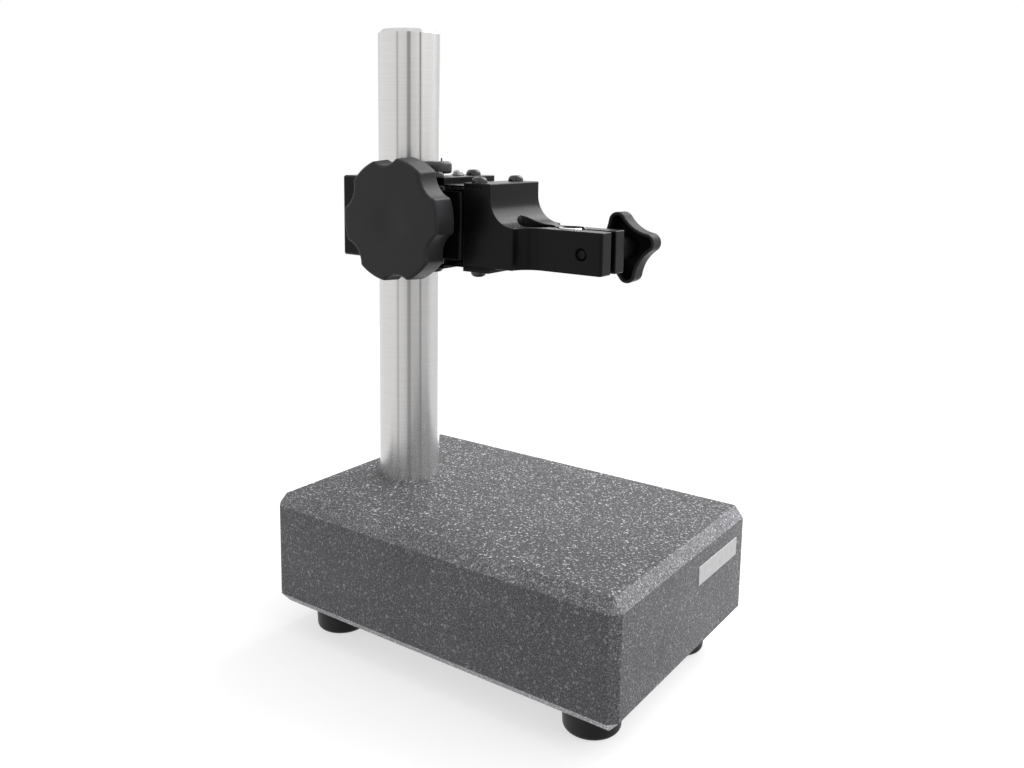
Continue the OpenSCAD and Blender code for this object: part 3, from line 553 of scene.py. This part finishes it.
# %% Column
r, bevel = (column_high[0] - column_low[0]) / 2, 1.4 * MM
profile = rounded([(0, column_low[2]), (r - 0.5 * MM, column_low[2]), (r, column_low[2] + 0.5 * MM),
                   (r, column_high[2] - bevel), (r - bevel, column_high[2]), (0, column_high[2])],
                  [0.1 * MM, 0.1 * MM, 0.3 * MM, 0.2 * MM], 3)
bar = turned(profile, (axis_x, 0, 0), steps=160)
skin("column_bar", [bar], "column", "ground_steel", ["column"])


# %% [markdown]
# The feet are rubber buffers that taper a little towards the floor. Each has a well from
# below for its washer and screw. The photograph shows them slightly wider than the CAD model
# has them.

# %% Feet
FOOT_WELL, FOOT_WEB, WIDER = 6.0 * MM, 4.5 * MM, 0.6 * MM
for corner in ("front_left", "front_right", "rear_left", "rear_right"):
    node = "foot_" + corner
    low, high = corners_of(node)
    centre = (low + high) / 2
    wide, tall = (high[0] - low[0]) / 2 + WIDER, high[2] - low[2]
    deep = tall - FOOT_WEB
    profile = rounded([(1e-9, deep), (FOOT_WELL, deep), (FOOT_WELL, 0), (wide - 0.5 * MM, 0),
                       (wide, tall - 0.8 * MM), (wide - 0.4 * MM, tall), (1e-9, tall)],
                      [0.3 * MM, 0.6 * MM, 1.8 * MM, 0.5 * MM, 0.2 * MM], 6)
    buffer = turned(profile, (centre[0], centre[1], 0))
    skin("rubber_" + node, [buffer], "stand", "rubber", [node])


# %% [markdown]
# The knobs are mouldings with lobes. Seen from the middle of a hollow, the outline follows
# the hollow's circle, then the small circle of a lobe's corner, then the outer circle. A row
# of the skin is that outline moved inwards along its own normal, so the rounding of the rim
# is the same round every lobe, or a circle, or a share of each where a face runs from one
# to the other.

# %% Knob shape
def lobed(count, tip, hollow, scallop, corner, turn, steps=720):
    """Outline of a lobed knob and its outward normals, one point for each angle. With a the
    angle from the nearest hollow, the radius is h cos a - sqrt(s^2 - (h sin a)^2) in a hollow
    of radius s about a centre at h, and the like with a plus sign on a lobe's corner."""
    t = angles(steps)
    sector = 2 * math.pi / count
    a = np.abs((t - math.radians(turn) + sector / 2) % sector - sector / 2)
    h, c = hollow + scallop, tip - corner
    lobe = math.acos((h * h + c * c - (scallop + corner) ** 2) / (2 * h * c))
    along = scallop / (scallop + corner)
    meet = math.atan2(along * c * math.sin(lobe), h + along * (c * math.cos(lobe) - h))
    in_hollow = h * np.cos(a) - np.sqrt(np.maximum(scallop**2 - (h * np.sin(a)) ** 2, 0))
    beside = np.maximum(corner**2 - (c * np.sin(a - lobe)) ** 2, 0)
    on_corner = c * np.cos(a - lobe) + np.sqrt(beside)
    radius = np.where(a < meet, in_hollow, np.where(a < lobe, on_corner, tip))
    outline = radius[:, None] * np.column_stack([np.cos(t), np.sin(t)])
    along_edge = np.roll(outline, -1, 0) - np.roll(outline, 1, 0)
    normal = np.column_stack([along_edge[:, 1], -along_edge[:, 0]])
    return outline, normal / np.linalg.norm(normal, axis=1, keepdims=True)


def knob_loops(shape, rows, origin, direction, hub=0.0, taper=0.0):
    """Loops of a knob from rows of (height, inset, radius, share of the circle), in
    millimetres. Above the hub the outline shrinks evenly by the taper."""
    outline, normal = shape
    height, inset, radius, share = np.array(rows, float).T[..., None, None]
    unit = outline / np.linalg.norm(outline, axis=1, keepdims=True)
    climb = np.clip((height - hub) / (height.max() - hub), 0, 1)
    lobes = (outline - inset * normal) * (1 - taper * climb)
    flat = (lobes * (1 - share) + radius * unit * share) * MM
    return placed(flat, height[:, 0, 0] * MM, origin, direction)


def ring(height, radius):
    """A row that is a circle."""
    return (height, 0.0, radius, 1.0)


def edge_rows(height, radius, start, end, steps=6):
    """Rows round a rim's edge: inset and height follow an arc about a point on the rim."""
    t = np.radians(np.linspace(start, end, steps))
    return [(height + radius * math.sin(a), radius * (1 - math.cos(a)), 0.0, 0.0) for a in t]


# %% [markdown]
# The clamp knob has six broad lobes that taper a little towards the front, as a moulding must
# to leave its mould. A hub bears on the washer, the back is hollow to save plastic, and the
# face dips in the middle: its depth follows a cosine, so it has no edge.

# %% Clamp knob
low, high = corners_of("clamp_knob")
origin = middle_of("clamp_stud")
origin[1] = high[1]
thick, hub, dip = 13.6, 4.2, 11.0
rows = [ring(10.2, 1e-6), ring(10.2, 4.8), ring(0, 4.8), ring(0, 8.7), ring(0.3, 9), ring(9.8, 9.9),
        ring(10.2, 10.3), ring(10.2, 16.0), ring(9.8, 16.4), ring(hub + 0.3, 17.3), ring(hub, 17.6)]
rows += edge_rows(hub + 1.0, 1.0, -90, 0) + edge_rows(thick - 1.2, 1.2, 0, 90, 8)
rows += [(thick, 1.2, 17.6, 0.35), (thick, 1.2, 15.6, 0.7), ring(thick, 13.6)]
radii = dip * np.linspace(1, 0, 12) + 1e-6
rows += [ring(thick - 0.3 * (1 + math.cos(math.pi * r / dip)), r) for r in radii]
clamp_shape = lobed(count=6, tip=23, hollow=20.4, scallop=9, corner=1.3, turn=36.5)
skin("clamp_knob_moulding", [knob_loops(clamp_shape, rows, origin, (0, -1, 0), hub, 0.03)],
     "clamp_handle", "knob_plastic", ["clamp_knob"])


# %% [markdown]
# The star knob on the far side has four narrow lobes on a long hub. Its back, which the
# photograph shows, is a deep hollow behind a thin rim of the same outline, so the rim draws a
# light line round a black star. The hollow is matt and painted darker than the knob, as
# painted shade deep in it. Its outer face is a low dome.

# %% Star knob
low, high = corners_of("star_knob")
origin = middle_of("star_stud")
origin[1] = low[1]
thick, hub, bore, deep = 19.0, 11.3, 3.2, 5.2
FIRST_INSIDE, LAST_INSIDE = 4, 8
rows = [ring(16.9, 1e-6), ring(16.9, bore), ring(0, bore), ring(0, 4.9), ring(0.3, 5.2),
        ring(hub - 3, 4.7), ring(hub + deep, 4.5)]
rows += [(hub + height, inset, 0, 0)
         for height, inset in ((deep, 2.0), (4.8, 1.7), (0.5, 1.3), (0.15, 1.2), (0, 1.0))]
rows += edge_rows(hub + 0.6, 0.6, -90, 0) + edge_rows(thick - 1.5, 1.1, 0, 75)
rows += [(thick - 0.35, 1.5, 5.5, 0.35), (thick - 0.12, 1.5, 5.0, 0.75)]
rows += [ring(thick, 4.4), ring(thick, 1e-6)]
star_shape = lobed(count=4, tip=13.2, hollow=9.0, scallop=14.1, corner=3.5, turn=-58.3)
# the hollow's rows take the darker matt finish: painted shade
skin("star_knob_moulding", [knob_loops(star_shape, rows, origin, (0, 1, 0), hub, 0.02)],
     "stem_handle", "star_plastic", ["star_knob"], inner="matt_painted_shade",
     inner_faces=lambda row, point: (row >= FIRST_INSIDE) & (row <= LAST_INSIDE))


# %% [markdown]
# Button-head screws hold the springs. The head has a short straight rim and a low dome, and
# its socket is a hexagon: the same circle of points, drawn in to a hexagon's sides.

# %% Screws
def hexagon(t):
    """Radius of a hexagon as a part of its corners' circle: cos 30 / cos of the angle from
    the middle of the nearest side."""
    from_side = (t % (math.pi / 3)) - math.pi / 6
    return math.cos(math.pi / 6) / np.cos(from_side)


def button(seat, direction, thread, head, tall, rim, long):
    """A button-head screw, its head standing on the seat. The dome's radius falls as a cosine
    while its height climbs as a sine."""
    flat_top, socket, deep = 0.42 * head, 0.33 * head, 0.55 * tall
    a = np.radians(np.linspace(0, 90, 9))
    dome = np.column_stack([flat_top + (head - flat_top) * np.cos(a),
                            rim + (tall - rim) * np.sin(a)])
    body = [(1e-6, -long), (thread - 0.2, -long), (thread, 0.2 - long), (thread, 0),
            (head - 0.12, 0), (head, 0.12)]
    hole = [(socket + 0.1, tall), (socket, tall - 0.1), (socket, tall - deep),
            (1e-6, tall - deep - 0.1)]
    profile = np.array([*body, *dome, *hole])
    shares = np.zeros(len(profile))
    shares[-4:] = 0.6, 1, 1, 1
    return turned(profile * MM, seat, direction, 72, hexagon, shares)


def four_screws(node, body, above, below):
    """The four screws of one end of the springs, with the lengths above and below."""
    thread, head, tall, rim = 1.5, 2.85, 2.2, 0.4
    low, high = corners_of(node)
    x, y = (low[0] + high[0]) / 2, high[1] - head * MM
    ends = ((high[2] - tall * MM, 1, above), (low[2] + tall * MM, -1, below))
    parts = [button((x, side * y, z), (0, 0, way), thread, head, tall, rim, long)
             for z, way, long in ends for side in (-1, 1)]
    skin(node + "_turned", parts, body, "black_screw", [node], sharp=35)


four_screws("block_screws", "carrier", 10.3, 9.2)
four_screws("head_screws", "head", 7.1, 7.5)
low, high = corners_of("bar_screw")
tall = 1.6
seat = (*middle_of("bar_screw")[:2], high[2] - tall * MM)
screw = button(seat, (0, 0, 1), thread=1.25, head=1.9, tall=tall, rim=0.3, long=6.6)
skin("bar_screw_turned", [screw], "carrier", "zinc_steel", ["bar_screw"], sharp=35)


# %% [markdown]
# The star knob's screw ends in a cup: a cone sunk in its end, whose edge is all that touches.
# Its end shows in the near side of the tongue, where the cup draws a small crescent.

# %% Stem clamp screw
low, high = corners_of("star_stud")
long, thread = (high[1] - low[1]) / MM, (high[0] - low[0]) / 2 / MM
profile = [(1e-6, 1.0), (thread - 0.75, 0.35), (thread - 0.6, 0.05), (thread - 0.45, 0.05),
           (thread, 0.5), (thread, long - 0.3), (thread - 0.3, long), (1e-6, long)]
origin = middle_of("star_stud")
origin[1] = low[1]
screw = turned(np.array(profile) * MM, origin, (0, 1, 0), 48)
skin("star_stud_turned", [screw], "stem_handle", "black_stud", ["star_stud"], sharp=35)


# %% [markdown]
# The adjusting screw ends in a small round knob. Its side is knurled: the circle is pressed in
# by a fine triangle wave. A small pin stands on its top, off the middle, to show its turn. The
# knob sits a little lower and is a little wider here than in the CAD model.

# %% Adjusting knob
TEETH, TOOTH_DEEP = 44, 0.03
TOP_LOWERED, UNDER_LOWERED = 1.3, 1.6
PIN_R, PIN_X, PIN_Y = 0.32, 1.35, 0.95


def knurl(t):
    """Radius of a knurled circle: 1 less a triangle wave, one wave for each tooth."""
    return 1 - TOOTH_DEEP * np.abs((t * TEETH / math.pi) % 2 - 1)


low, high = corners_of("fine_knob")
top, under = (high[2] - low[2]) / MM - TOP_LOWERED, -UNDER_LOWERED
wide, brim, heel = 5.5, 1.5, 0.9
a = np.radians(np.linspace(0, 90, 6))
lower = [(wide - heel + heel * math.sin(t), under + heel - heel * math.cos(t)) for t in a]
upper = [(wide - brim + brim * math.cos(t), top - brim + brim * math.sin(t)) for t in a]
profile = [(1e-6, top - 0.8), (2, top - 0.8), (2, under), *lower, *upper, (1e-6, top)]
shares = np.zeros(len(profile))
shares[5:13] = 0.3, 1, 1, 1, 1, 1, 1, 0.4
middle = (*middle_of("fine_knob")[:2], low[2])
knob = turned(np.array(profile) * MM, middle, (0, 0, 1), 6 * TEETH, knurl, shares)
pin = [(1e-6, top - 0.4), (PIN_R, top - 0.4), (PIN_R, top + 1.0), (0.2, top + 1.2),
       (1e-6, top + 1.2)]
pin_at = (middle[0] + PIN_X * MM, middle[1] + PIN_Y * MM, middle[2])
skin("fine_knob_turned", [knob, turned(np.array(pin) * MM, pin_at, steps=24)],
     "fine_adjuster", "black_aluminium", ["fine_knob"], sharp=60)


# %% [markdown]
# Washers are stamped rings with slightly rounded edges. Each is the ring that its CAD node's
# box gives, so its last row is its first.

# %% Washers
def washer(node, body, direction, hole, edge=0.15):
    """A ring as thick as its CAD node along the direction."""
    low, high = corners_of(node)
    axis = int(np.argmax(np.abs(direction)))
    origin = middle_of(node)
    origin[axis] = low[axis]
    thick = (high - low)[axis] / MM
    outer = (high - low)[(axis + 1) % 3] / 2 / MM
    profile = [(hole + edge, 0), (outer - edge, 0), (outer, edge), (outer, thick - edge),
               (outer - edge, thick), (hole + edge, thick), (hole, thick - edge), (hole, edge),
               (hole + edge, 0)]
    stamped = turned(np.array(profile) * MM, origin, direction)
    skin(node + "_ring", [stamped], body, "zinc_steel", [node], sharp=60)


washer("clamp_washer", "clamp_press", (0, 1, 0), 3.3)
washer("stem_washer", "stem_press", (0, 1, 0), 2.3)
washer("bar_screw_washer", "carrier", (0, 0, 1), 1.55, 0.1)


# %% [markdown]
# The blocks, bars, plates and springs keep their exact CAD shapes. A copy of each node's mesh
# is merged, its flat faces are joined, and a Bevel modifier breaks the edges, so that they
# draw the thin bright lines that real machined edges do. The leaf springs are also cut across
# at even steps along their free length, between the block and the head.

# %% Softened copies of the machined pieces
FLAT, CREASE = math.radians(0.3), 30


def softened(node, body, width, cuts=()):
    """A copy of a CAD node with merged points, whole flat faces and broken edges."""
    work = bmesh.new()
    work.from_mesh(frame["nodes"][node].data)
    bmesh.ops.remove_doubles(work, verts=work.verts, dist=TOUCHING)
    bmesh.ops.dissolve_limit(work, angle_limit=FLAT, verts=work.verts, edges=work.edges)
    for x in cuts:
        everything = work.verts[:] + work.edges[:] + work.faces[:]
        bmesh.ops.bisect_plane(work, geom=everything, plane_co=(x, 0, 0), plane_no=(1, 0, 0))
    name = node + "_finished"
    mesh = bpy.data.meshes.new(name)
    work.to_mesh(mesh)
    work.free()
    if "custom_normal" in mesh.attributes:
        mesh.attributes.remove(mesh.attributes["custom_normal"])
    piece = dress(name, mesh, body, slot_of[node], [node], sharp=CREASE)
    edges = piece.modifiers.new("broken_edges", "BEVEL")
    edges.width, edges.segments = width * MM, 2
    edges.limit_method, edges.angle_limit = "ANGLE", math.radians(CREASE)
    edges.use_clamp_overlap = False
    piece.modifiers.move(1, 0)
    return piece


for node, body, width in (
    ("clamp_block", "carrier", 0.3), ("arm_head", "head", 0.35),
    ("spring_bar_top", "carrier", 0.2), ("spring_bar_bottom", "carrier", 0.2),
    ("head_plate_top", "head", 0.15), ("head_plate_bottom", "head", 0.2),
    ("spring_spacer_top", "carrier", 0.12), ("spring_spacer_bottom", "carrier", 0.12),
):
    softened(node, body, width)

seat_end = corners_of("spring_bar_top")[1][0]
head_start = corners_of("arm_head")[0][0]
for node in ("leaf_spring_top", "leaf_spring_bottom"):
    z = middle_of(node)[2]
    softened(node, ("carrier", "head", (seat_end, 0, z), (head_start, 0, z)), 0.06,
             np.linspace(seat_end, head_start, 8))


# %% [markdown]
# The gauge stem is held in a bright split bush, which stands a little proud of the black
# tongue. It is a thin tube in two arcs, parted by the clamp slot. Its section is carried along
# each arc, and each end is closed by a row drawn in to a point. Only its top edge is bright:
# the wall inside and the small chamfer at its top take a near-black matt finish, painted shade
# of the bore.

# %% Bright bush of the stem bore
block_low, block_high = corners_of("clamp_block")
STEM_X = axis_x + 75.3 * MM
MOUTH_Z = (block_low[2] + block_high[2]) / 2 + 0.05 * MM
BUSH_IN, BUSH_OUT, PROUD, SUNK = 4.03, 4.8, 0.5, -0.3


def bush_arc(start, end, steps=40):
    """Loops of one arc: section points (radius, height) turned about the stem's axis."""
    section = np.array([(BUSH_IN, PROUD - 0.1), (BUSH_IN, SUNK), (BUSH_OUT, SUNK),
                        (BUSH_OUT, 0.15), (BUSH_OUT - 0.5, PROUD), (BUSH_IN + 0.1, PROUD)])
    closed = np.tile(section.mean(0), (1, len(section), 1))
    section = np.concatenate([closed, np.tile(section, (steps, 1, 1)), closed])
    t = np.radians(np.concatenate([[start], np.linspace(start, end, steps), [end]]))[:, None]
    x, y = section[..., 0] * np.cos(t), section[..., 0] * np.sin(t)
    return np.stack([x, y, section[..., 1]], -1) * MM + (STEM_X, 0, MOUTH_Z)


# the bush's inner wall and inner top chamfer take the near-black matt finish: painted shade of the
# bore
skin("stem_bush", [bush_arc(16, 164), bush_arc(196, 344)], "head", "bright_steel", sharp=40,
     inner="matt_painted_shade", inner_faces=lambda row, point: (point == 0) | (point == 5))


# %% [markdown]
# A blank foil plate is stuck on the end of the base, where such stands carry their label. It
# is a rounded rectangle a quarter of a millimetre thick, with soft edges.

# %% Blank label plate
LABEL_Y, LABEL_Z = 24.5 * MM, 41.8 * MM


def plate_outline(wide, tall, corner, steps=48):
    """A rectangle with round corners: each point lies on the circle of its own corner."""
    t = angles(steps) + math.pi / steps
    way = np.column_stack([np.cos(t), np.sin(t)])
    return np.sign(way) * ((wide / 2, tall / 2) - np.full(2, corner)) + corner * way


rows = [(16.4, 3.4, 0.05, -0.1), (16.5, 3.5, 0.4, 0.15),
        (16.45, 3.45, 0.4, 0.22), (16.38, 3.38, 0.35, 0.25)]
loops = [plate_outline(2 * a, 2 * b, c) for a, b, c, _ in rows]
loops = np.array([loops[0] * 1e-3, *loops, loops[-1] * 1e-3]) * MM
heights = np.array([rows[0][3], *[row[3] for row in rows], rows[-1][3]]) * MM
label_at = (corners_of("granite_base")[1][0], LABEL_Y, LABEL_Z)
plate = placed(loops, heights, label_at, (1, 0, 0))
skin("label_plate", [plate], "stand", "label_foil", sharp=60)


# %% [markdown]
# The stand is lit like a catalogue picture, in a bright room. The world gives camera rays
# plain white. Glossy rays see the room, whose grey depends on the direction: three dark gaps
# between its panels are the thin upright lines that the steel shows, and the ground is duller
# to the right. Everything else gets a soft light that is weaker from the left front.

# %% Room
FADE = 2
GAPS = [(-93.7, 2.5, 0.50), (-50.6, 6.0, 0.36), (-7.7, 2.5, 0.30)]
WALLS = [(-180, 0.95), (-60, 0.85), (-30, 0.92), (5, 1.18), (30, 1.05), (60, 0.92), (95, 0.72),
         (110, 1.0), (125, 1.2), (140, 1.1), (155, 0.75), (180, 0.92)]
GROUND = [(-180, 0.9), (-110, 0.85), (-70, 0.7), (-35, 0.5), (20, 0.55), (45, 0.8), (90, 0.8),
          (100, 2.2), (125, 2.0), (150, 0.9), (180, 0.9)]
BRIGHT_WAY, SOFT_LEVELS = (0.45, 0.35, 0.82), (0.14, 0.82)


def panels(levels):
    """Stops of a ramp round the room. Levels are (bearing, grey), and gaps (bearing, half
    width, grey) are cut into them. A bearing is in degrees from X towards Y, and its place
    on the ramp is bearing / 360 + 1/2."""
    stops = []
    for at, half_width, grey in GAPS:
        around = float(np.interp(at, *zip(*levels)))
        stops += [(at - half_width - FADE, around), (at - half_width, grey),
                  (at + half_width, grey), (at + half_width + FADE, around)]
    kept = [(a, g) for a, g in levels if all(abs(a - at) > w + FADE for at, w, _ in GAPS)]
    return [(a / 360 + 0.5, g) for a, g in sorted(kept + stops)]


world = bpy.data.worlds.new("studio")
bpy.context.scene.world = world
world.use_nodes = True
tree = world.node_tree
direction = add(tree, "ShaderNodeTexCoord").outputs["Generated"]
parts = add(tree, "ShaderNodeSeparateXYZ", {0: direction}).outputs
turn = spread(tree, maths(tree, "ARCTAN2", parts["Y"], parts["X"]), -math.pi, math.pi, 0.0, 1.0)
lift = spread(tree, parts["Z"], -0.12, 0.05, 0.0, 1.0)
room = mixed(tree, lift, greys(tree, turn, panels(GROUND)), greys(tree, turn, panels(WALLS)))
soft = spread(tree, dot(tree, direction, BRIGHT_WAY), -1.0, 1.0, *SOFT_LEVELS)
ray = add(tree, "ShaderNodeLightPath").outputs
shine = mixed(tree, ray["Is Glossy Ray"], soft, room)
clear = maths(tree, "MAXIMUM", ray["Is Camera Ray"], ray["Is Transmission Ray"])
seen = mixed(tree, clear, shine, (1, 1, 1, 1))
tree.links.new(seen, tree.nodes["Background"].inputs["Color"])
print("room with", len(GAPS), "dark gaps")


# %% [markdown]
# Two big soft lamps light the stand, one from the right and above and one from behind. The
# first is hidden from glossy rays, because its reflection would draw one more bright line
# down the column.

# %% Lamps
def lamp(name, at, target, size, power, mirrored=True):
    """A square area lamp that faces a point, with or without its own reflection."""
    light = bpy.data.lights.new(name, "AREA")
    light.size, light.energy = size, power
    made = bpy.data.objects.new(name, light)
    aim = (Vector(target) - Vector(at)).to_track_quat("-Z", "Y")
    made.matrix_world = Matrix.Translation(at) @ aim.to_matrix().to_4x4()
    made.visible_glossy = mirrored
    bpy.context.scene.collection.objects.link(made)
    print(name, "gives", power, "W")


lamp("key_lamp", (1.1, 0.2, 0.80), (0, 0, 0.06), 1.2, 8.5, mirrored=False)
lamp("back_lamp", (0.21, 1.08, 1.12), (0, 0, 0.12), 1.1, 15.0)


# %% [markdown]
# The floor is a grey disc that glows for the camera alone, so that it looks white, keeps the
# stand's soft shadow and sends no extra light back up.

# %% Floor
FLOOR_R, FLOOR_STEPS, GLOW = 0.62, 96, 0.62
mesh = bpy.data.meshes.new("floor")
t = angles(FLOOR_STEPS)
disc = np.column_stack([FLOOR_R * np.cos(t), FLOOR_R * np.sin(t), np.zeros(FLOOR_STEPS)])
mesh.from_pydata(disc.tolist(), [], [list(range(FLOOR_STEPS))])
floor = bpy.data.objects.new("floor", mesh)
floor.visible_glossy = False
bpy.context.scene.collection.objects.link(floor)
material = bpy.data.materials.new("pale_floor")
material.use_nodes = True
tree = material.node_tree
tree.nodes.remove(tree.nodes["Principled BSDF"])
cloth = add(tree, "ShaderNodeBsdfDiffuse", {"Color": (0.5, 0.5, 0.5, 1)})
ray = add(tree, "ShaderNodeLightPath").outputs
strength = spread(tree, ray["Is Camera Ray"], 0, 1, 0, GLOW)
glow = add(tree, "ShaderNodeEmission", {"Strength": strength})
both = add(tree, "ShaderNodeAddShader", {0: cloth.outputs[0], 1: glow.outputs[0]})
tree.links.new(both.outputs[0], tree.nodes["Material Output"].inputs["Surface"])
mesh.materials.append(material)
print("floor of", FLOOR_R, "m radius")
